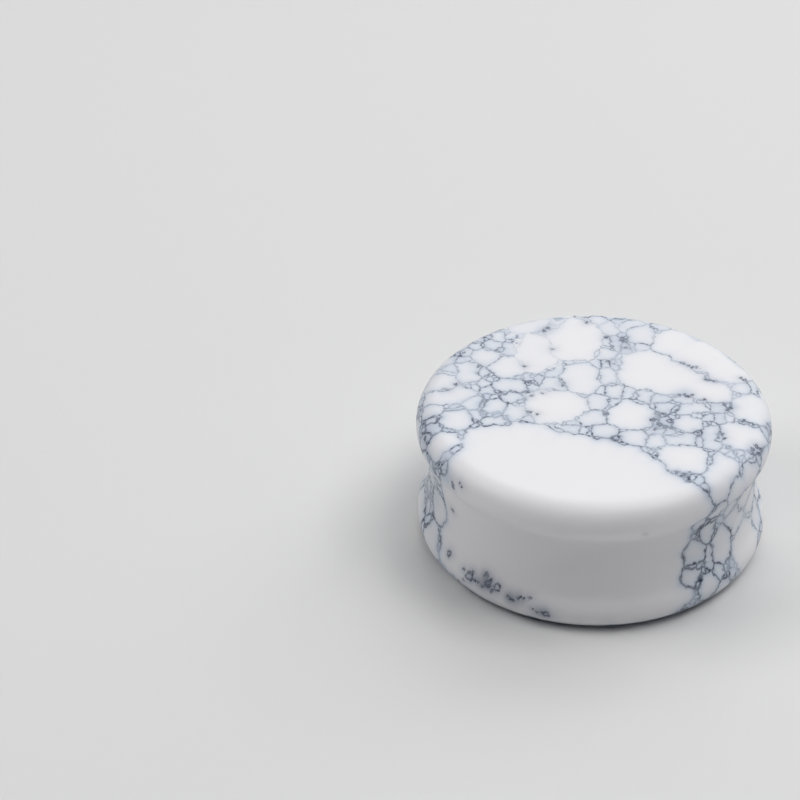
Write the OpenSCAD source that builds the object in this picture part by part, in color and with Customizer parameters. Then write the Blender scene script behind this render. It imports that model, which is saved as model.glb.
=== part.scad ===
// Double-flared ear plug, turned and polished from one piece of solid stone.
// It stands on one flat face with its axis along +Z, and the origin is the centre of that face.
// All sizes are in millimetres and all angles in degrees.

/* [Plug] */
// Diameter at mid-length, which is the plug's gauge
gauge_d = 25; // [8:0.5:60]
// Length from face to face
plug_length = 11.3; // [8.5:0.1:30]

/* [Flares] */
// How far each flare stands out over the gauge
flare_h = 0.9; // [0.7:0.05:1.6]
// Radius of the rounding that runs round each flare's edge
rim_r = 1.65; // [0.5:0.05:2.6]
// Steepest slope behind a flare, measured from the axis
flare_slope = 36; // [25:1:45]

/* [Waist] */
// Depth of the slow curve that hollows the waist between its two necks
waist_hollow = 0.3; // [0.02:0.01:0.4]

/* [Smoothness] */
// Sides that stand for a full circle
circle_sides = 180; // [60:12:360]

/* [Hidden] */

$fn = circle_sides;

// Centre of a rim's rounding, with heights measured from the middle of the plug
rim_x = gauge_d / 2 + flare_h - rim_r;
rim_z = plug_length / 2 - rim_r;

// Where the rim has turned by the flare's slope and the neck's hollow takes over
rim_end_x = rim_x + rim_r * cos(flare_slope);
rim_end_z = rim_z - rim_r * sin(flare_slope);

// The neck eases the flare's slope into the waist's, without a corner at either end
waist_slope = 2 * atan(waist_hollow / rim_end_z);
neck_drop = flare_h - rim_r * (1 - cos(flare_slope)) - waist_hollow;
neck_run = cos(waist_slope) - cos(flare_slope) - (sin(flare_slope) - sin(waist_slope)) * tan(waist_slope / 2);
neck_r = neck_drop / neck_run;
neck_x = rim_end_x + neck_r * cos(flare_slope);
neck_z = rim_end_z - neck_r * sin(flare_slope);
neck_end_x = neck_x - neck_r * cos(waist_slope);
neck_end_z = neck_z + neck_r * sin(waist_slope);

// The waist's arc runs on from one neck to the other and meets the gauge at mid-length
waist_r = neck_end_z / sin(waist_slope);
waist_x = gauge_d / 2 + waist_r;

// Corners of the section's upper half, from the axis along the face to the end of the neck
corners = [[0, plug_length / 2], [rim_x, plug_length / 2], [rim_end_x, rim_end_z], [neck_end_x, neck_end_z]];

// Half of the plug's section, from the axis outwards, with z = 0 at its middle
module half_section() {
    difference() {
        polygon(concat(
            [for (corner = corners) [corner.x, -corner.y]],
            [for (i = [len(corners) - 1 : -1 : 0]) corners[i]]
        ));
        for (side = [-1, 1])
            translate([neck_x, side * neck_z]) circle(r = neck_r);
        intersection() {
            translate([waist_x, 0]) circle(r = waist_r);
            translate([0, -neck_end_z]) square([waist_x, 2 * neck_end_z]);
        }
    }
    for (side = [-1, 1])
        translate([rim_x, side * rim_z]) circle(r = rim_r);
}

// The whole plug is one solid of revolution: two flat faces, two rounded flares and a waist
module stone_plug() {
    color("whitesmoke")
        translate([0, 0, plug_length / 2])
            rotate_extrude() half_section();
}

stone_plug();
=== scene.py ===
import math

import bpy
import numpy as np
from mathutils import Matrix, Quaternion, Vector


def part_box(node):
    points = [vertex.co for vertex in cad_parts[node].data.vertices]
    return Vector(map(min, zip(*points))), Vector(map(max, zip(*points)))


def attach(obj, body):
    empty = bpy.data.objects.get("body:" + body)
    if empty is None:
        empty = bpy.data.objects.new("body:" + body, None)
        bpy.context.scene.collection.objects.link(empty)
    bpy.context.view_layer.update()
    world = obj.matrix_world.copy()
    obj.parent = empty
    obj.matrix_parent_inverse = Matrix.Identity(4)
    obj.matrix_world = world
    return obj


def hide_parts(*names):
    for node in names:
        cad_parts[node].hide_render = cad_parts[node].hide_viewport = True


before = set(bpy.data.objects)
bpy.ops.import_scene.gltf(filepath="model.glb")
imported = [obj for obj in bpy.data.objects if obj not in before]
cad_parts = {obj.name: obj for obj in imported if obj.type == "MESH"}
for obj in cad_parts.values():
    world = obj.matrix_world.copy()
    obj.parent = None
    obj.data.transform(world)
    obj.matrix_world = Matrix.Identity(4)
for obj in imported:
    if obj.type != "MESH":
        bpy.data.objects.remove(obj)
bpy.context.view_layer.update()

# The camera
# A long lens looks down on the plug from in front, low enough to show its waist. It is turned a
# little about its own axis, so that the plug leans in the picture as it does in the photograph.
picture_px = 800
sensor_mm = 36.0
lens_mm = 95.15
camera_place = Vector((0.0, -0.13102, 0.10297))
camera_aim = Vector((-0.01481, 0.00136, 0.00994))
camera_roll = math.radians(-1.41)

camera_data = bpy.data.cameras.new("camera")
camera_data.sensor_width = sensor_mm
camera_data.lens = lens_mm
camera = bpy.data.objects.new("camera", camera_data)
camera.location = camera_place
camera.rotation_mode = "QUATERNION"
camera.rotation_quaternion = (
    (camera_aim - camera_place).to_track_quat("-Z", "Y") @ Quaternion((0, 0, 1), camera_roll)
)
bpy.context.scene.collection.objects.link(camera)
bpy.context.scene.camera = camera


def sight_lines(pixels):
    """Directions from the camera through points of the picture: each point's offset from the middle
    is divided by the lens's length in pixels, and turned with the camera."""
    lens_px = lens_mm / sensor_mm * picture_px
    offset = (np.asarray(pixels, float) - picture_px / 2) / lens_px
    straight = np.stack([offset[:, 0], -offset[:, 1], -np.ones(len(offset))], axis=1)
    return straight @ np.array(camera.rotation_quaternion.to_matrix()).T


# The plug
# One piece of white stone, turned to a round plug with a flare at each end and polished all over.
# The ends are flat, and the waist between the flares is where the ear lobe sits.
lowest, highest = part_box("stone_plug")
plug_length = highest.z
flare_r = min(highest.x, -lowest.x)
gauge_r = 0.0125
rim_r = 0.00165
flare_slope = math.radians(36)
waist_hollow = 0.0003
mesh_step = 0.00022
sides = 384


def arc(centre, radius, start, end):
    """Points along an arc, a mesh step apart: the centre plus the radius times the cosine and sine of
    an angle that runs evenly from start to end. The last point is left to what follows."""
    count = math.ceil(abs(radius * (end - start)) / mesh_step)
    angle = start + (end - start) * np.arange(count) / count
    return centre + radius * np.stack([np.cos(angle), np.sin(angle)], axis=1)


def flat_face():
    """Points from near the middle of the upper face out to its rim, in even steps, as distances from the
    axis and from mid-length."""
    face_r = flare_r - rim_r
    count = math.ceil(face_r / mesh_step)
    return np.stack([face_r * np.arange(1, count) / count, np.full(count - 1, plug_length / 2)], axis=1)


def flare_and_waist():
    """The plug's edge from the rim of the upper face down to mid-length, as distances from the axis
    and from mid-length: the flare's rounding, the neck's hollow and the waist's slow curve, each
    touching the next without a corner."""
    rim = np.array([flare_r - rim_r, plug_length / 2 - rim_r])
    outward = np.array([math.cos(flare_slope), -math.sin(flare_slope)])
    rim_end = rim + rim_r * outward
    waist_slope = 2 * math.atan(waist_hollow / rim_end[1])
    drop = flare_r - gauge_r - rim_r * (1 - math.cos(flare_slope)) - waist_hollow
    run = math.cos(waist_slope) - math.cos(flare_slope)
    run -= (math.sin(flare_slope) - math.sin(waist_slope)) * math.tan(waist_slope / 2)
    neck_r = drop / run
    neck = rim_end + neck_r * outward
    neck_end_z = neck[1] + neck_r * math.sin(waist_slope)
    waist_r = neck_end_z / math.sin(waist_slope)
    waist = np.array([gauge_r + waist_r, 0.0])
    return np.concatenate([
        arc(rim, rim_r, math.pi / 2, -flare_slope),
        arc(neck, neck_r, math.pi - flare_slope, math.pi - waist_slope),
        arc(waist, waist_r, math.pi - waist_slope, math.pi),
    ])


def turned(section, name):
    """A closed surface of revolution: each point of the section goes round the axis in even steps, and
    a point on the axis closes each end."""
    turn = 2 * math.pi * np.arange(sides) / sides
    across = section[:, 0, None]
    height = np.repeat(section[:, 1, None], sides, axis=1)
    rings = np.stack([across * np.cos(turn), across * np.sin(turn), height], axis=-1)
    poles = [(0, 0, section[0, 1]), (0, 0, section[-1, 1])]
    places = np.concatenate([rings.reshape(-1, 3), poles])
    ring, step = np.meshgrid(np.arange(len(section) - 1), np.arange(sides), indexing="ij")
    here = ring * sides + step
    beside = ring * sides + (step + 1) % sides
    walls = np.stack([here, here + sides, beside + sides, beside], axis=-1).reshape(-1, 4)
    first, second = np.arange(sides), (np.arange(sides) + 1) % sides
    last_ring = (len(section) - 1) * sides
    upper = np.stack([np.full(sides, len(places) - 2), first, second], axis=1)
    lower = np.stack([np.full(sides, len(places) - 1), last_ring + second, last_ring + first], axis=1)
    mesh = bpy.data.meshes.new(name)
    mesh.from_pydata(places.tolist(), [], upper.tolist() + lower.tolist() + walls.tolist())
    mesh.shade_smooth()
    piece = bpy.data.objects.new(name, mesh)
    bpy.context.scene.collection.objects.link(piece)
    return piece


upper_half = np.concatenate([flat_face(), flare_and_waist()])
section = np.concatenate([upper_half, [[gauge_r, 0.0]], upper_half[::-1] * (1, -1)])
section[:, 1] += plug_length / 2
plug = turned(section, "veined_plug")
bpy.context.view_layer.update()

# The nodules that the photograph shows: the middle of each in the picture, half its width
# and height there in pixels, and how far it is turned to the left in degrees. No vein runs between
# nodules of one zone. The edge says how strong the veins round a nodule are, and 1 is the usual.
columns = ("zone", "column", "row", "half_width", "half_height", "turn", "edge")
nodules = [
    ("", 508, 367.5, 15.6, 10.6, 0, 1),
    ("", 511, 385.6, 17, 6, 0, 1.25),
    ("", 536.7, 353.7, 18.7, 17, 0, 0.2),
    ("", 574, 340, 26, 19, 0, 0.4),
    ("", 485.5, 357.5, 12, 7.5, 0, 0.6),
    ("", 469, 372, 10, 10, 0, 0.7),
    ("", 440.5, 381, 13, 9.4, 20, 0.6),
    ("", 449, 396, 24, 7, 8, 0.7),
    ("", 474, 402, 10, 6, 0, 1),
    ("", 494, 405.6, 12, 6.5, 20, 1.2),
    ("", 512, 397.5, 9.5, 4.8, 15, 1.2),
    ("", 455.5, 420, 15, 9.4, 30, 1),
    ("", 494, 421, 10.6, 3.5, 0, 1.3),
    ("", 515.5, 411, 10, 7, 0, 0.6),
    ("", 556.7, 406, 30, 15, 0, 0.5),
    ("", 580.5, 378.7, 19, 14, 0, 0.7),
    ("", 555.5, 385, 13, 6, -20, 0.8),
    ("", 509, 348.7, 6.2, 5.6, 0, 0.8),
    ("", 493, 345, 8.7, 3.7, -10, 0.9),
    ("", 510, 336, 4.7, 3.1, 0, 1),
    ("", 498, 336, 5.6, 5, 0, 0.7),
    ("", 475.5, 346, 5.6, 3.5, 15, 0.8),
    ("", 528, 325.6, 19, 5, 10, 0.3),
    ("", 556.7, 326, 8.7, 4.4, 10, 1),
    ("", 430.5, 411, 10, 6, 0, 0.7),
    ("", 431.5, 420.8, 5.8, 3, 0, 1.5),
    ("", 433, 427.5, 7.5, 3.7, 0, 1.3),
    ("front", 447, 440, 12, 9, 0, 1),
    ("", 565.5, 428, 12.5, 2.8, -8, 0.8),
    ("", 528, 377.3, 4.8, 4.1, 0, 0.7),
    ("", 538.2, 379.5, 4.9, 4.7, 0, 0.85),
    ("", 531, 386.1, 5.3, 3.4, 0, 0.75),
    ("", 554, 371, 10, 4.5, 20, 0.8),
    ("", 488, 390, 6.2, 4.4, 0, 1),
    ("", 474, 387.5, 5, 3.5, 0, 1),
    ("", 449, 370, 6, 4, 0, 0.6),
    ("middle", 643.7, 370, 24, 18, 0, 0.6),
    ("middle", 671, 378.7, 27, 15, -15, 0.6),
    ("middle", 708.7, 391, 24, 10, -10, 0.6),
    ("middle", 657, 360, 10, 7, -25, 0.7),
    ("middle", 679, 371, 12, 7, -20, 0.7),
    ("middle", 697, 379, 9, 6, -25, 0.5),
    ("back", 675, 341, 19, 10, -20, 0.5),
    ("back", 702.5, 356, 24, 12.5, -25, 0.5),
    ("back", 727.5, 371, 19, 10, -30, 0.5),
    ("back", 665, 347, 9, 7, -25, 0.7),
    ("back", 684, 355, 10, 7, -20, 0.7),
    ("back", 702, 365, 10, 7, -30, 0.5),
    ("back", 718, 376, 9, 5.5, -25, 0.7),
    ("", 641, 335, 12, 9.5, -10, 0.8),
    ("", 611, 329, 9, 5.6, 0, 0.5),
    ("", 629, 326, 14, 4, 15, 0.6),
    ("", 616, 344, 4.5, 7, 0, 0.8),
    ("", 627.5, 348.7, 6, 5, 0, 1),
    ("", 605.6, 353, 9.4, 5.6, 0, 0.7),
    ("", 638.7, 346, 7.5, 4.4, -20, 0.8),
    ("", 607.5, 376, 9.4, 7.5, 0, 0.7),
    ("", 617, 365, 5, 5.6, 0, 0.9),
    ("", 615, 390, 8.7, 5.6, 0, 0.9),
    ("", 628.7, 392, 5, 5, 0, 0.8),
    ("", 598, 402.5, 9, 7, 0, 0.9),
    ("", 630, 416, 24, 12, 0, 0.8),
    ("", 644.4, 396, 6, 6, -30, 0.85),
    ("", 662, 398, 10, 3.5, 0, 0.7),
    ("", 667.5, 407.5, 10.4, 4, 10, 1.05),
    ("", 683, 399.4, 11, 3, 0, 0.7),
    ("", 692.5, 408.7, 16, 5, 5, 0.7),
    ("", 717, 407.5, 7, 5, 0, 0.75),
    ("", 687.5, 423.7, 14, 8, -20, 0.8),
    ("", 708, 418, 5.2, 4, 0, 0.85),
    ("", 720, 418.7, 5.2, 4.4, 0, 0.75),
    ("", 730, 418.7, 6, 3.7, 0, 0.6),
    ("right", 751, 407.5, 17.5, 13.7, 0, 0.8),
    ("right", 761, 402, 7, 10, -20, 0.8),
    ("right", 764, 411, 5, 9, 0, 0.8),
    ("", 741, 389.4, 10.6, 6, 0, 0.8),
    ("broad", 740, 436, 22, 12, -20, 1),
    ("broad", 755, 438, 11, 9, -35, 1),
    ("", 713, 437, 9.4, 11, 0, 0.85),
    ("", 665, 421, 6, 3.7, 0, 1.1),
    ("", 672.5, 433, 7.5, 3.5, 0, 0.75),
    ("", 682.5, 440, 16, 6, 0, 0.75),
    ("", 633.7, 437.5, 12.5, 8, 0, 1),
    ("", 604, 431, 12.5, 5.6, 0, 1),
    ("", 592, 418.5, 14, 6, 12, 0.9),
    ("", 655, 441, 9, 6, 0, 0.8),
    ("", 655, 431, 9, 2.5, 0, 0.8),
    ("", 600.6, 390, 4.4, 3.7, 0, 1),
    ("low", 683, 460, 26, 13.5, -10, 0.9),
    ("low", 701, 459, 9, 8, 0, 0.9),
    ("side", 723, 474, 15, 20, -12, 0.9),
    ("side", 719, 461, 7, 7, 0, 0.9),
    ("side", 733, 467, 7, 6, 0, 0.9),
    ("side", 726, 485, 8, 8, 0, 0.9),
    ("side", 718, 495, 7, 9, -10, 0.9),
    ("", 699, 441, 6, 4.5, 0, 0.75),
    ("", 726.4, 449, 4, 5, 0, 1),
    ("", 731.5, 454.5, 5, 3.3, 0, 1),
    ("", 740, 454, 6, 4, 0, 0.9),
    ("", 748, 457, 6, 5, 0, 1),
    ("", 745, 483, 22, 7.5, 53, 0.8),
    ("", 734.3, 521, 7, 11, -15, 0.7),
    ("", 708.6, 558.6, 4, 13, 0, 1.4),
    ("", 648.6, 453, 3.5, 2.5, 0, 1),
    ("", 654.5, 457, 3.5, 2.5, 0, 1),
    ("", 663, 462.5, 4.5, 3, -20, 1),
    ("", 677, 471.5, 4.3, 3.6, 0, 1),
    ("", 685.7, 473, 4, 3.3, 0, 1),
    ("", 692, 475.7, 5, 4, 0, 1),
    ("", 698.6, 480, 4, 3.5, 0, 1),
    ("", 705.7, 487, 4, 4.3, 0, 1),
    ("", 444.5, 456.5, 7, 3, 45, 0.7),
    ("", 520, 343, 4, 2.5, 0, 0.9),
    ("", 575, 362, 9, 1.6, 8, 0.9),
    ("", 518, 377.7, 4.6, 2.2, 12, 0.9),
    ("", 543, 373.3, 4, 2, 0, 1),
    ("", 548.5, 369.5, 4.2, 3.4, 30, 0.9),
    ("", 484, 384, 6, 3.2, 0, 0.9),
    ("", 487, 396, 3, 3, 0, 1),
    ("", 493, 397, 4, 2.3, 0, 1),
    ("", 465, 360, 8, 2.5, 0, 0.9),
    ("", 607, 343, 4.2, 4.2, 0, 1),
    ("", 597, 364, 4, 3, 0, 1),
    ("", 605, 364, 4, 3.5, 0, 1),
    ("", 620, 357, 3, 2, 0, 1),
    ("", 674, 417, 3.3, 2, 0, 1),
    ("", 656, 421, 3, 3, 0, 1),
    ("", 697, 433, 3, 2.3, 0, 1.1),
    ("", 697, 416.5, 7, 2.5, 5, 0.7),
    ("", 442, 417.5, 4.5, 2.5, 15, 1.2),
    ("", 462.8, 434.5, 4, 3.8, 0, 0.9),
    ("", 475.5, 415.5, 5, 4.3, 0, 1.1),
    ("", 521, 404.5, 4.5, 2.6, 0, 0.9),
    ("", 613.5, 403.5, 4, 3.3, 0, 0.8),
    ("", 571, 422.6, 9, 1.6, -5, 0.9),
    ("", 584.5, 430.5, 4, 2.6, -25, 1),
    ("", 754.5, 388.5, 3.4, 5, 0, 0.9),
    ("", 749, 424.2, 6.5, 1.4, -18, 1.15),
    ("", 706, 424.5, 3, 2.2, 0, 0.85),
    ("", 713, 424.5, 3.2, 2, 0, 0.85),
    ("", 445, 474, 2.6, 11, 12, 1.3),
    ("front", 435, 447, 6, 8, 0, 1),
    ("front", 436, 456, 5, 5, 0, 1),
    ("front", 454, 468, 5, 8, 0, 1),
    ("front", 478, 437.5, 15, 9.5, 0, 1),
    ("front", 500, 435.5, 17, 10, 0, 1),
    ("front", 523, 434.5, 17, 10.5, 0, 1),
    ("front", 545, 436.5, 15, 10, 0, 1),
    ("front", 562, 443, 15, 10, 0, 1),
    ("front", 582, 447, 17, 11, 0, 1),
    ("front", 604, 451, 17, 12, 0, 1),
    ("front", 624, 457, 16, 12.5, 0, 1),
    ("front", 640, 463, 15, 12.5, 0, 1),
    ("front", 654, 471, 14, 12, -20, 1),
    ("front", 668, 482, 14, 11, -25, 1),
    ("front", 684, 492, 14, 11, -20, 1),
    ("front", 696, 499, 12, 11, -20, 1),
    ("front", 704, 512, 8, 9, 0, 1),
    ("front", 470, 443, 8.5, 9, 0, 1),
    ("front", 466, 455, 7, 8, 0, 1),
    ("front", 460, 464, 7, 7, 0, 1),
    ("front", 458, 478, 7, 8, 0, 1),
    ("front", 460, 494, 8, 8, 0, 1),
    ("front", 472, 458, 14, 12, 0, 1),
    ("front", 468, 472, 18, 12, 0, 1),
    ("front", 470, 490, 19, 14, 0, 1),
    ("front", 500, 455, 34, 20, 0, 1),
    ("front", 545, 465, 40, 24, 0, 1),
    ("front", 600, 480, 42, 26, 0, 1),
    ("front", 650, 495, 28, 20, 0, 1),
    ("front", 505, 485, 34, 26, 0, 1),
    ("front", 555, 500, 42, 28, 0, 1),
    ("front", 610, 510, 42, 28, 0, 1),
    ("front", 500, 520, 34, 28, 0, 1),
    ("front", 560, 540, 50, 40, 0, 1),
    ("front", 620, 545, 48, 40, 0, 1),
    ("front", 670, 520, 22, 20, 0, 1),
    ("front", 662, 555, 19, 30, 0, 1),
    ("front", 464, 512, 17, 16, 0, 1),
    ("front", 458, 540, 18, 18, 0, 1),
    ("front", 462, 558, 20, 14, 0, 1),
    ("front", 490, 560, 30, 26, 0, 1),
    ("front", 530, 575, 40, 28, 0, 1),
    ("front", 590, 582, 46, 30, 0, 1),
    ("front", 645, 580, 34, 24, 0, 1),
    ("front", 480, 578, 14, 13, 0, 1),
    ("front", 500, 589, 14, 13, 0, 1),
    ("front", 520, 598, 14, 13, 0, 1),
    ("front", 545, 606, 16, 13, 0, 1),
    ("front", 570, 611, 16, 13, 0, 1),
    ("front", 595, 613, 16, 13, 0, 1),
    ("front", 620, 611, 16, 13, 0, 1),
    ("front", 645, 605, 16, 13, 0, 1),
    ("front", 668, 596, 14, 13, 0, 1),
    ("front", 685, 593, 9, 8, 0, 1),
    ("front", 497, 595, 14, 16, 0, 1),
    ("front", 520, 604, 15, 16, 0, 1),
    ("front", 545, 612, 16, 16, 0, 1),
    ("front", 570, 616.5, 16, 16, 0, 1),
    ("front", 595, 618, 16, 16, 0, 1),
    ("front", 620, 616.5, 16, 16, 0, 1),
    ("front", 645, 611, 16, 16, 0, 1),
    ("front", 668, 602, 14, 14, 0, 1),
    ("front", 456, 564, 9, 12, 0, 1),
    ("front", 466, 575, 12, 14, 0, 1),
    ("front", 480, 586, 14, 15, 0, 1),
    ("front", 660, 609, 14, 14, 0, 1),
    ("front", 677, 600, 12, 12, 0, 1),
    ("front", 678, 541, 9, 12, 0, 1),
    ("front", 688, 523, 8, 8, 0, 1),
    ("", 694.8, 553, 8.8, 12.5, 8, 1.55),
    ("", 691.8, 575.5, 9.5, 11.5, 0, 1.65),
    ("", 706.4, 533, 6, 9, 0, 1.6),
    ("", 721.4, 544.3, 8, 18, 0, 1.4),
    ("", 745.7, 543, 13, 25, -5, 0.7),
    ("", 718, 569.5, 6, 7, 0, 1.4),
    ("", 708.6, 585.7, 9, 15, 0, 1.3),
    ("", 456.4, 448.6, 5, 3.3, 0, 1),
    ("", 440, 508, 6, 16, 0, 1.3),
    ("", 430, 541, 8, 18, 0, 1.4),
]

# Specks and small rings of vein by themselves in the white front and among the nodules: the column, the
# row and the radius of each in the picture.
specks = [
    (469.3, 577.1, 3.3), (464.4, 569.3, 0.8), (478, 581.4, 0.9), (474.5, 580, 0.7), (487.7, 584.1, 3.1),
    (488, 585, 0.8), (497, 588, 3.3), (486.4, 573.6, 1.6), (492, 591, 1), (509.3, 597.9, 1.2),
    (507, 595.5, 0.7), (520, 596.4, 0.9), (518.5, 598, 0.7), (524.3, 599.3, 0.7), (529.3, 598.6, 0.8),
    (532.9, 608.6, 0.7), (545, 613.5, 2.4), (548.3, 615, 1), (540.7, 612.1, 0.6), (449.3, 554.3, 1.8),
    (452, 482, 0.7), (452.8, 485, 1.2), (453.3, 488, 0.8), (459.6, 483, 0.5), (461.3, 486.6, 0.6),
    (452.4, 510.3, 0.8), (464.3, 580, 0.7), (482, 586, 1.2), (490.5, 580, 1), (472.5, 571.5, 0.7),
    (512, 600.5, 0.9), (536, 612, 0.7), (460, 356, 1), (464, 352.5, 0.8), (479, 366, 1.1),
    (456, 383.5, 0.9), (447, 390, 0.6), (562, 385, 0.9), (528.5, 392, 0.9), (531, 396, 0.9),
    (543, 393, 0.6), (528.5, 412, 0.8), (536, 414, 0.7), (553, 349, 0.7), (586.6, 323, 0.7),
    (544, 331, 1.1), (548, 328, 1), (439, 419, 1), (434, 416, 0.8), (425, 433, 1), (424.5, 439, 1.1),
    (426.5, 443, 0.9), (525, 366, 0.7), (680, 395, 1), (685, 394, 0.9), (688, 396.5, 1.2),
    (692, 395, 0.8), (704, 400, 0.8), (724, 404, 1), (731, 408, 1.3), (727, 410, 0.8), (683, 363, 0.8),
    (687, 365, 0.8), (692, 367, 0.9), (697, 367.5, 0.9), (706, 379, 0.9), (709, 380, 1.1),
    (713, 381, 0.8), (742, 378, 0.8), (746, 380, 1), (654, 420, 1.2), (659, 415, 1.2), (664, 414, 1.4),
    (669, 421, 1.6), (659, 424, 1.6), (665, 427, 1.5), (672, 427, 1.2), (655, 429, 1.1), (722, 434, 0.8),
    (724, 438, 0.8), (697, 432, 1.1), (699, 435, 0.9), (753, 449, 1.2), (757, 446, 1.5), (761, 449, 1.3),
    (758, 452.5, 1.4), (613, 438, 1), (616, 440, 1.2), (619, 436, 1), (677, 473, 1), (682, 475, 1),
    (707, 491, 0.9), (606, 337, 1.2), (623, 340, 1.3), (625, 347.5, 1.2), (608, 361, 0.9),
]

# Places where the veins gather to a dark clump: column, row and radius in the picture
clumps = [
    (487, 585, 10), (472, 578, 7), (512, 599, 7), (544, 613, 7), (544, 330, 8), (684, 393, 8),
    (729, 407, 7), (757, 449, 7), (725.7, 577, 6), (702, 573, 5), (695.7, 590, 5), (708.6, 496, 4),
    (661, 421, 10), (443.5, 478, 7), (425, 438, 7), (436, 496, 8), (598, 437, 6), (716, 507, 5),
    (699, 537, 5), (614, 438, 6), (618, 342, 9), (482, 403, 9), (529, 391, 3),
]

# Soft smudges of the vein's colour among the specks: column, row and radius in the picture
smudges = [
    (487.5, 583.5, 4), (487, 584, 5), (486, 584, 9), (478, 583, 6), (496, 589, 5), (470, 577, 5),
    (509, 597, 4), (510, 598, 8), (520, 600, 7), (540, 612, 7), (545, 615, 4), (449, 555, 3),
    (485, 576, 5), (645, 534.5, 2),
]

eye = np.array(camera_place)


def on_stone(nodule):
    """Where a nodule lies on the stone: the sight line through its middle meets the stone there, and the
    sight lines through the ends of its two axes meet the plane that touches the stone at that point.
    Gives the middle, both half axes and half the nodule's thickness as rows."""
    turn = math.radians(nodule["turn"])
    middle = np.array([nodule["column"], nodule["row"]])
    wide = nodule["half_width"] * np.array([math.cos(turn), -math.sin(turn)])
    high = nodule["half_height"] * np.array([math.sin(turn), math.cos(turn)])
    lines = sight_lines([middle, middle + wide, middle - wide, middle + high, middle - high])
    hit, place, normal, _ = plug.ray_cast(camera_place, Vector(lines[0]))
    if not hit:
        raise ValueError(f"no stone at column {nodule['column']}, row {nodule['row']}")
    place, normal = np.array(place), np.array(normal)
    ends = eye + lines[1:] * ((place - eye) @ normal / (lines[1:] @ normal))[:, None]
    first, second = (ends[0] - ends[1]) / 2, (ends[2] - ends[3]) / 2
    thick = math.sqrt(np.linalg.norm(first) * np.linalg.norm(second))
    return np.array([place, first, second, normal * thick])


nodule_growth = 1.1
longest_round = 1.25


def seeds_of(nodule):
    """Round seeds that a nodule grows from: one where it is about as long as it is wide, and otherwise a
    row along it. Each seed is a row of its place and its radius."""
    place, first, second, _ = on_stone(nodule)
    short, long = sorted([first * nodule_growth, second * nodule_growth], key=np.linalg.norm)
    short_r, long_r = np.linalg.norm(short), np.linalg.norm(long)
    if long_r < longest_round * short_r:
        return np.array([[*place, math.sqrt(short_r * long_r)]])
    count = math.ceil(long_r / short_r)
    along = np.linspace(-1, 1, count)[:, None] * (1 - short_r / long_r) * long
    return np.concatenate([place + along, np.full((count, 1), short_r)], axis=1)


def round_on_stone(spots):
    """The places and the radii on the stone of round spots in the picture, a row for each."""
    rows = []
    for column, row, radius in spots:
        spread = {"column": column, "row": row, "half_width": radius, "half_height": radius, "turn": 0}
        place, _, _, normal = on_stone(spread)
        rows.append([*place, np.linalg.norm(normal)])
    return np.array(rows)


table = [dict(zip(columns, nodule)) for nodule in nodules]
speck_rows = round_on_stone(specks)
clump_rows = round_on_stone(clumps)
smudge_rows = round_on_stone(smudges)

# A nodule is one body of stone, and so are all the nodules of a zone together. Every seed keeps its body
# and the strength of its edge.
zone_names = sorted({nodule["zone"] for nodule in table} - {""})
body_of_nodule = [
    zone_names.index(nodule["zone"]) if nodule["zone"] else len(zone_names) + index
    for index, nodule in enumerate(table)
]
seed_rows = [seeds_of(nodule) for nodule in table]
seeds = np.concatenate(seed_rows)
bodies = np.concatenate([np.full(len(rows), body) for rows, body in zip(seed_rows, body_of_nodule)])
edges = np.concatenate([np.full(len(rows), float(nodule["edge"])) for rows, nodule in zip(seed_rows, table)])


def gaps_at(points):
    """How far each point is outside each seed, and negative inside it. The square of a distance is the
    two places' own squares less twice their product."""
    own_squares = (points ** 2).sum(axis=1)[:, None] + (seeds[:, :3] ** 2).sum(axis=1)
    return np.sqrt(np.maximum(own_squares - 2 * points @ seeds[:, :3].T, 0)) - seeds[:, 3]


def in_parts(points, measure, part_size=3000):
    """Measures many points a few thousand at a time, and joins the results."""
    parts = [measure(part) for part in np.array_split(points, math.ceil(len(points) / part_size))]
    return [np.concatenate(column) for column in zip(*parts)]


def border_at(points):
    """The nearest seed of each point, the nearest one of another body, and the gap to each of the two."""
    gaps = gaps_at(points)
    every = np.arange(len(points))
    first = gaps.argmin(axis=1)
    others = np.where(bodies == bodies[first][:, None], np.inf, gaps)
    second = others.argmin(axis=1)
    return first, second, gaps[every, first], others[every, second]


mesh = plug.data
face_count = len(mesh.polygons)
face_place = np.empty(face_count * 3)
mesh.polygons.foreach_get("center", face_place)
face_place = face_place.reshape(-1, 3)
face_area = np.empty(face_count)
mesh.polygons.foreach_get("area", face_area)
face_share = face_area / face_area.sum()

# Between the nodules that are named above, and all over the sides that the camera does not see, the
# stone is packed with round pebbles: each drop lands where it can, and grows until it meets another.
# A row for each size of pebble: its first drop, where its drops end, its smallest and its largest radius.
dice = np.random.default_rng(7)
pebble_sizes = [
    (0, 400, 0.0012, 0.004),
    (399, 1899, 0.0006, 0.0012),
    (1898, 5898, 0.0003, 0.0006),
    (5897, 10897, 0.0002, 0.0003),
]
drop_count = 10900
drops = dice.choice(face_count, drop_count, p=face_share)
drop_place = face_place[drops]
drop_gap = in_parts(drop_place, lambda part: (gaps_at(part).min(axis=1),))[0]
pebbles = np.empty((drop_count, 4))
count = 0
for first_drop, end_of_drops, smallest, largest in pebble_sizes:
    for drop in range(first_drop, end_of_drops):
        gap = drop_gap[drop]
        if gap > smallest and count:
            away = np.linalg.norm(pebbles[:count, :3] - drop_place[drop], axis=1)
            gap = min(gap, (away - pebbles[:count, 3]).min())
        if gap > smallest:
            pebbles[count] = (*drop_place[drop], min(gap, largest))
            count += 1
seeds = np.concatenate([seeds, pebbles[:count]])
bodies = np.concatenate([bodies, bodies.max() + 1 + np.arange(count)])
edges = np.concatenate([edges, np.ones(count)])


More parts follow.
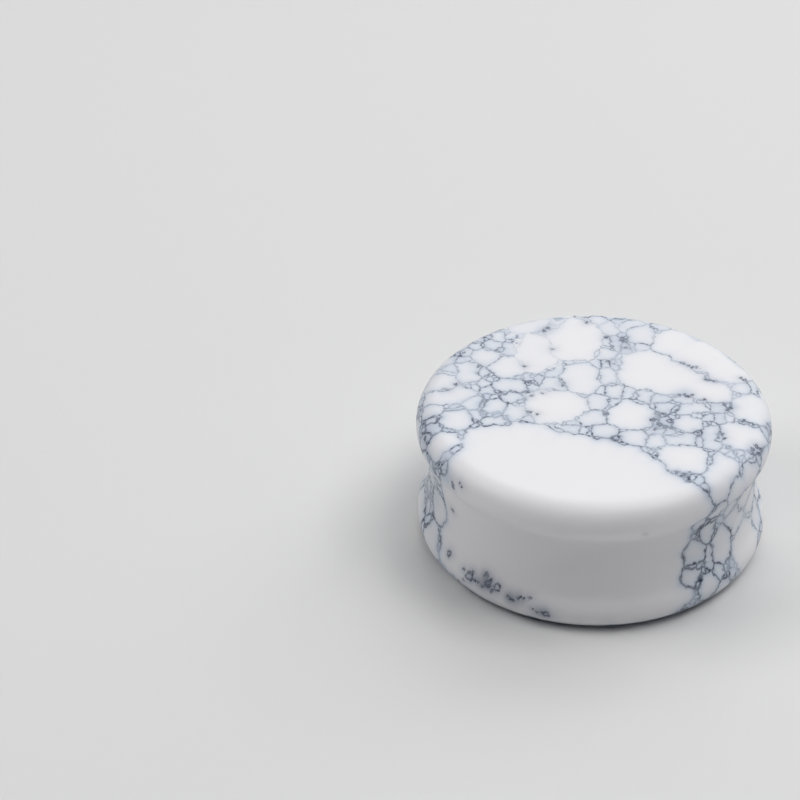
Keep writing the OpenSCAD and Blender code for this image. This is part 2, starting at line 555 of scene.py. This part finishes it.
def edge_between(first, second):
    """How strong the vein between two seeds is: as strong as at the stronger where one is above 1, and
    otherwise as at the weaker."""
    weaker = np.minimum(edges[first], edges[second])
    stronger = np.maximum(edges[first], edges[second])
    return np.where(stronger > 1, stronger, weaker)


def swell(points, length, seed, wave_count=8):
    """A slow wave through the stone, from 0 to 1: the mean of cosines that run in random directions."""
    waves = np.random.default_rng(seed)
    ways = waves.normal(size=(wave_count, 3))
    ways *= 2 * math.pi / length / np.linalg.norm(ways, axis=1, keepdims=True)
    return 0.5 + 0.5 * np.cos(points @ ways.T + waves.uniform(0, 2 * math.pi, wave_count)).mean(axis=1)


# Here and there a vein parts in two and joins again, with slivers of stone between its lines. A sliver is
# a string of seeds close to the border of two bodies. Slow waves say where veins part, with slivers the
# thicker the higher the wave is above its start, and where the slivers break into beads.
sliver_tries = 40000
sliver_reach = 0.00012
parting_length = 0.0022
parting_start = 0.52
bead_length = 0.0035
bead_start = 0.55
beads_in_turn = 3
thinnest_half = 0.00004
thickest_half = 0.00016
half_spread = 0.00005
half_growth = 0.0009

tried = face_place[dice.choice(face_count, sliver_tries, p=face_share)]
first, second, own_gap, other_gap = in_parts(tried, border_at)
parted = swell(tried, parting_length, seed=3)
here = (other_gap - own_gap < sliver_reach) & (parted > parting_start)
half_thick = thinnest_half + half_growth * (parted - parting_start)
half_thick += dice.uniform(0, half_spread, sliver_tries)
half_thick = np.minimum(half_thick, thickest_half)[here]
pair = np.sort(np.stack([bodies[first], bodies[second]], axis=1), axis=1)[here]
beads = np.where(swell(tried, bead_length, seed=4) > bead_start, beads_in_turn, 1)[here]
bead = dice.integers(0, beads_in_turn, here.sum()) % beads
_, sliver = np.unique(np.column_stack([pair, bead]), axis=0, return_inverse=True)
slivers = np.column_stack([tried[here], 2 * half_thick - own_gap[here]])
sliver_edge = edge_between(first, second)[here]
seeds = np.concatenate([seeds, slivers])
bodies = np.concatenate([bodies, bodies.max() + 1 + sliver.ravel()])
edges = np.concatenate([edges, sliver_edge])

# Small cells of the stone are bluer than large nodules, and each a little more or less than the next.
# A cell counts as small fully up to the first radius, and not at all from the second.
small_cell = (0.0009, 0.0019)
tiny_cell = (0.00021, 0.00091)
small_fill = 0.16
tiny_fill = 0.45
body_r = np.zeros(bodies.max() + 1)
np.maximum.at(body_r, bodies, seeds[:, 3])
small = np.interp(body_r, small_cell, (1, 0))
tiny = np.interp(body_r, tiny_cell, (1, 0))
fill = (small_fill * small + tiny_fill * tiny * dice.random(len(body_r)) ** 2)[bodies]

# Each face keeps the few seeds and specks that are nearest to it, in millimetres, and the material works
# out from them where the veins run.
mm_per_m = 1000.0
seed_reach = 9
speck_reach = 2


def nearest_seeds(points):
    """The few seeds with the smallest gaps at each point, in no order."""
    return (np.argpartition(gaps_at(points), seed_reach, axis=1)[:, :seed_reach],)


def keep_on_faces(name, values):
    """Keeps three numbers with each face."""
    kept = mesh.attributes.new(name, "FLOAT_VECTOR", "FACE")
    kept.data.foreach_set("vector", values.astype(np.float32).ravel())


near_seeds = in_parts(face_place, nearest_seeds)[0]
kinds = np.stack([seeds[:, 3] * mm_per_m, bodies, fill], axis=1)
for rank in range(seed_reach):
    keep_on_faces(f"seed_{rank}", seeds[near_seeds[:, rank], :3] * mm_per_m)
    keep_on_faces(f"kind_{rank}", kinds[near_seeds[:, rank]])

away = np.linalg.norm(face_place[:, None] - speck_rows[:, :3], axis=2) - speck_rows[:, 3]
near_specks = away.argsort(axis=1)[:, :speck_reach]
for rank in range(speck_reach):
    keep_on_faces(f"speck_{rank}", speck_rows[near_specks[:, rank], :3] * mm_per_m)
    keep_on_faces(f"ring_{rank}", speck_rows[near_specks[:, rank], 3:] * (mm_per_m, 0, 0))

# Each point of the surface keeps how deep it lies in its nodule, how strong the vein beside it is, how
# near it is to a dark clump and how dark it is smudged.
smudge_share = 0.26
points = np.empty(len(mesh.vertices) * 3)
mesh.vertices.foreach_get("co", points)
points = points.reshape(-1, 3)
first, second, own_gap, other_gap = in_parts(points, border_at)


def nearness(spots):
    """How near each point is to the middle of each round spot: 1 there, and falling with the square of
    the distance."""
    return np.exp(-((points[:, None] - spots[:, :3]) ** 2).sum(axis=2) / spots[:, 3] ** 2)


for name, values in [
    ("depth", (other_gap - own_gap) / 2 * mm_per_m),
    ("edge", edge_between(first, second)),
    ("clump", nearness(clump_rows).max(axis=1)),
    ("smudge", 1 - (1 - smudge_share * nearness(smudge_rows)).prod(axis=1)),
]:
    mesh.attributes.new(name, "FLOAT", "POINT").data.foreach_set("value", values.astype(np.float32))

# The stone is milky white, and bluer in its small cells and close to a vein. The veins are thin and
# ragged, from pale grey-blue to nearly black where they knot. The material's lengths are in millimetres.
stone = bpy.data.materials.new("veined_stone")
stone.use_nodes = True
tree = stone.node_tree
core_white = (0.855, 0.85, 0.875, 1)
halo_blue = (0.62, 0.69, 0.79, 1)
fill_blue = (0.50, 0.58, 0.70, 1)
haze_blue = (0.30, 0.345, 0.45, 1)
vein_pale = (0.25, 0.285, 0.36, 1)
vein_dark = (0.052, 0.06, 0.1, 1)

# The first input, the second input and the output of a Mix node, for each kind of value
mix_sockets = {"FLOAT": (2, 3, 0), "VECTOR": (4, 5, 1), "RGBA": (6, 7, 2)}


def add(kind, values, **settings):
    """A node of the stone with its settings, and each of its inputs set to a value or joined to another
    node's output."""
    new = tree.nodes.new(kind)
    for name, setting in settings.items():
        setattr(new, name, setting)
    for socket, value in values.items():
        if isinstance(value, bpy.types.NodeSocket):
            tree.links.new(value, new.inputs[socket])
        else:
            new.inputs[socket].default_value = value
    return new


def number(operation, *values):
    """The result of a sum on one, two or three numbers."""
    return add("ShaderNodeMath", dict(enumerate(values)), operation=operation).outputs[0]


def vector(operation, *values):
    """The result of a sum on vectors: a number where it is a distance, and otherwise a vector."""
    node = add("ShaderNodeVectorMath", dict(enumerate(values)), operation=operation)
    return node.outputs["Value" if operation == "DISTANCE" else "Vector"]


def times(way, count):
    """A vector, so many times as long."""
    return add("ShaderNodeVectorMath", {0: way, "Scale": count}, operation="SCALE").outputs[0]


def blend(kind, share, first, second):
    """Goes from the first value to the second as the share goes from 0 to 1."""
    low, high, out = mix_sockets[kind]
    return add("ShaderNodeMix", {0: share, low: first, high: second}, data_type=kind).outputs[out]


def ramp(value, low, high):
    """Rises smoothly from 0 to 1 as the value goes from low to high."""
    steps = {"Value": value, "From Min": low, "From Max": high}
    return add("ShaderNodeMapRange", steps, interpolation_type="SMOOTHSTEP").outputs[0]


def between(share, low, high):
    """Goes from low to high in a straight line as the share goes from 0 to 1."""
    return number("MULTIPLY_ADD", share, high - low, low)


def fading(distance, reach):
    """Falls from 1 at no distance, over each reach by the same factor, which is e."""
    return number("POWER", math.e, number("DIVIDE", distance, -reach))


def line_at(distance, half_width):
    """A soft line, 1 at no distance and 0 from its half width outwards."""
    return number("SUBTRACT", 1.0, ramp(distance, 0.0, half_width))


def noise(at, scale, detail):
    """A noise through the stone, with about so many lumps along each millimetre."""
    return add("ShaderNodeTexNoise", {"Vector": at, "Scale": scale, "Detail": detail}).outputs


def wobble(at, scale, size):
    """Moves a place about by a noise, up to half the size each way."""
    bend = vector("SUBTRACT", noise(at, scale, detail=2.0)["Color"], (0.5, 0.5, 0.5))
    return times(bend, size)


def read(name, output):
    """What the mesh keeps under a name."""
    return add("ShaderNodeAttribute", {}, attribute_name=name).outputs[output]


def split(way):
    """The three numbers of a vector."""
    return add("ShaderNodeSeparateXYZ", {0: way}).outputs


at_mm = times(add("ShaderNodeTexCoord", {}).outputs["Object"], mm_per_m)
bent = vector("ADD", at_mm, wobble(at_mm, scale=0.9, size=0.5))
bent = vector("ADD", bent, wobble(at_mm, scale=3.0, size=0.25))
rough = vector("ADD", bent, wobble(at_mm, scale=6.0, size=0.33))

# The body that a point lies in is the one whose seed leaves the smallest gap.
gaps, seed_bodies, fills, ways = [], [], [], []
for rank in range(seed_reach):
    seed_at = read(f"seed_{rank}", "Vector")
    seed_r, seed_body, seed_fill = split(read(f"kind_{rank}", "Vector"))
    gaps.append(number("SUBTRACT", vector("DISTANCE", bent, seed_at), seed_r))
    seed_bodies.append(seed_body)
    fills.append(seed_fill)
    ways.append(vector("NORMALIZE", vector("SUBTRACT", bent, seed_at)))

own_gap, own_body, own_fill, own_way = gaps[0], seed_bodies[0], fills[0], ways[0]
for gap, body, fill, way in zip(gaps[1:], seed_bodies[1:], fills[1:], ways[1:]):
    closer = number("LESS_THAN", gap, own_gap)
    own_body = blend("FLOAT", closer, own_body, body)
    own_fill = blend("FLOAT", closer, own_fill, fill)
    own_way = blend("VECTOR", closer, own_way, way)
    own_gap = number("MINIMUM", gap, own_gap)

# The border lies where the gap to another body is as small. The gaps draw level the faster, the more
# the two seeds' directions differ. Bodies are whole numbers, so two less than half apart are the same.
far = 100.0
half_apart = 0.5
least_parting = 0.4
other_gap, other_way = far, ways[0]
for gap, body, way in zip(gaps, seed_bodies, ways):
    same = number("COMPARE", body, own_body, half_apart)
    gap = number("MULTIPLY_ADD", same, far, gap)
    closer = number("LESS_THAN", gap, other_gap)
    other_way = blend("VECTOR", closer, other_way, way)
    other_gap = number("MINIMUM", gap, other_gap)
parting = number("MAXIMUM", vector("DISTANCE", own_way, other_way), least_parting)
border = number("DIVIDE", number("SUBTRACT", other_gap, own_gap), parting)

# A speck is a small ring of vein, and the smallest are closed to dots.
speck_half_width = 0.14
speck_haze_reach = 0.3
speck_haze_share = 0.45
speck_off = far
for rank in range(speck_reach):
    away = vector("DISTANCE", rough, read(f"speck_{rank}", "Vector"))
    ring_r = split(read(f"ring_{rank}", "Vector"))[0]
    off = number("ABSOLUTE", number("SUBTRACT", away, ring_r))
    speck_off = number("MINIMUM", speck_off, off)
speck_line = line_at(speck_off, speck_half_width)
speck_haze = number("MULTIPLY", fading(speck_off, speck_haze_reach), speck_haze_share)

# Close to a vein the white turns blue, over a wide halo and a narrower bloom. The small cells and the
# clumps are filled with blue, and the specks and smudges lie in a haze.
halo_reach = 0.32
clump_fill = 0.45
bloom_half_width = 0.42
bloom_share = 0.17
depth = number("MAXIMUM", read("depth", "Fac"), 0.0)
edge = read("edge", "Fac")
plain_edge = number("MINIMUM", edge, 1.0)
clump = read("clump", "Fac")
halo = number("MULTIPLY", fading(depth, halo_reach), plain_edge)
bloom = number("MULTIPLY", line_at(border, bloom_half_width), plain_edge)
ground = blend("RGBA", halo, core_white, halo_blue)
ground = blend("RGBA", number("MAXIMUM", own_fill, number("MULTIPLY", clump, clump_fill)), ground, fill_blue)
ground = blend("RGBA", number("MULTIPLY", bloom, bloom_share), ground, haze_blue)
ground = blend("RGBA", speck_haze, ground, haze_blue)
ground = blend("RGBA", read("smudge", "Fac"), ground, vein_dark)

# A vein is thicker and darker at its knots, and paler along some stretches and at short breaks. Round the
# nodules with an edge above 1 it stays strong.
knot_start, knot_full = 0.46, 0.66
clump_knot = 0.6
thin_half, thick_half = 0.105, 0.19
weak_width = 0.4
stretch_start, stretch_full, stretch_least = 0.36, 0.54, 0.45
break_start, break_full, break_least = 0.34, 0.52, 0.8
strongest_edge = 1.8
strong_share = 0.8
slow = noise(at_mm, scale=0.5, detail=2.0)["Fac"]
quick = noise(at_mm, scale=3.2, detail=1.0)["Fac"]
knot = number("MAXIMUM", ramp(quick, knot_start, knot_full), number("MULTIPLY", clump, clump_knot))
half_width = number("MULTIPLY", between(knot, thin_half, thick_half), between(edge, weak_width, 1.0))
stretch = between(ramp(slow, stretch_start, stretch_full), stretch_least, 1.0)
unbroken = between(ramp(quick, break_start, break_full), break_least, 1.0)
strength = number("MULTIPLY", number("MULTIPLY", plain_edge, stretch), unbroken)
strong = number("MULTIPLY", ramp(edge, 1.0, strongest_edge), strong_share)
strength = number("MAXIMUM", strength, strong)
veined = number("MAXIMUM", number("MULTIPLY", line_at(border, half_width), strength), speck_line)
vein = blend("RGBA", number("MAXIMUM", knot, strong), vein_pale, vein_dark)

shader = tree.nodes["Principled BSDF"]
tree.links.new(blend("RGBA", veined, ground, vein), shader.inputs["Base Color"])
shader.inputs["Roughness"].default_value = 0.42
shader.inputs["Specular IOR Level"].default_value = 0.3
shader.inputs["Subsurface Weight"].default_value = 0.7
shader.inputs["Subsurface Radius"].default_value = (1, 1, 1)
shader.inputs["Subsurface Scale"].default_value = 0.0015
mesh.materials.append(stone)

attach(plug, "root")
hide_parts("stone_plug")

# The floor
# A wide sheet of pale matt paper that the plug lies on.
floor_half = 2.0
floor_corners = [(-floor_half, -floor_half, 0), (floor_half, -floor_half, 0),
                 (floor_half, floor_half, 0), (-floor_half, floor_half, 0)]
paper_grey = (0.75, 0.75, 0.75, 1)

floor_mesh = bpy.data.meshes.new("floor")
floor_mesh.from_pydata(floor_corners, [], [(0, 1, 2, 3)])
floor = bpy.data.objects.new("floor", floor_mesh)
bpy.context.scene.collection.objects.link(floor)
paper = bpy.data.materials.new("pale_paper")
paper.use_nodes = True
paper_shader = paper.node_tree.nodes["Principled BSDF"]
paper_shader.inputs["Base Color"].default_value = paper_grey
paper_shader.inputs["Roughness"].default_value = 0.7
paper_shader.inputs["Specular IOR Level"].default_value = 0.1
floor_mesh.materials.append(paper)

# The light
# Square soft lamps stand round the plug, all as far away and facing it, with no other light. Each has its
# direction round the plug and its height, in degrees, and its power in watts.
lamp_distance = 0.6
lamp_side = 0.3
lamp_aim = Vector((0, 0, 0.006))
lamp_columns = ("name", "direction", "height", "power")
lamps = [
    ("right_steep", 0, 66, 1.2),
    ("back_steep", 90, 66, 0.49),
    ("front_steep", 270, 66, 0.435),
    ("left_high", 180, 42, 1.06),
    ("back_high", 90, 42, 0.53),
    ("right_high", 0, 42, 0.2),
    ("back_right_high", 45, 42, 0.57),
    ("back_right_low", 45, 18, 0.4),
]
for lamp in [dict(zip(lamp_columns, row)) for row in lamps]:
    direction, height = math.radians(lamp["direction"]), math.radians(lamp["height"])
    level = math.cos(height)
    way = Vector((level * math.cos(direction), level * math.sin(direction), math.sin(height)))
    light = bpy.data.lights.new(lamp["name"], "AREA")
    light.size = lamp_side
    light.energy = lamp["power"]
    holder = bpy.data.objects.new(lamp["name"], light)
    holder.location = lamp_distance * way
    holder.rotation_euler = (lamp_aim - lamp_distance * way).to_track_quat("-Z", "Y").to_euler()
    bpy.context.scene.collection.objects.link(holder)

studio = bpy.data.worlds.new("studio")
studio.use_nodes = True
studio.node_tree.nodes["Background"].inputs["Strength"].default_value = 0.0
bpy.context.scene.world = studio
bpy.context.scene.view_settings.view_transform = "Standard"
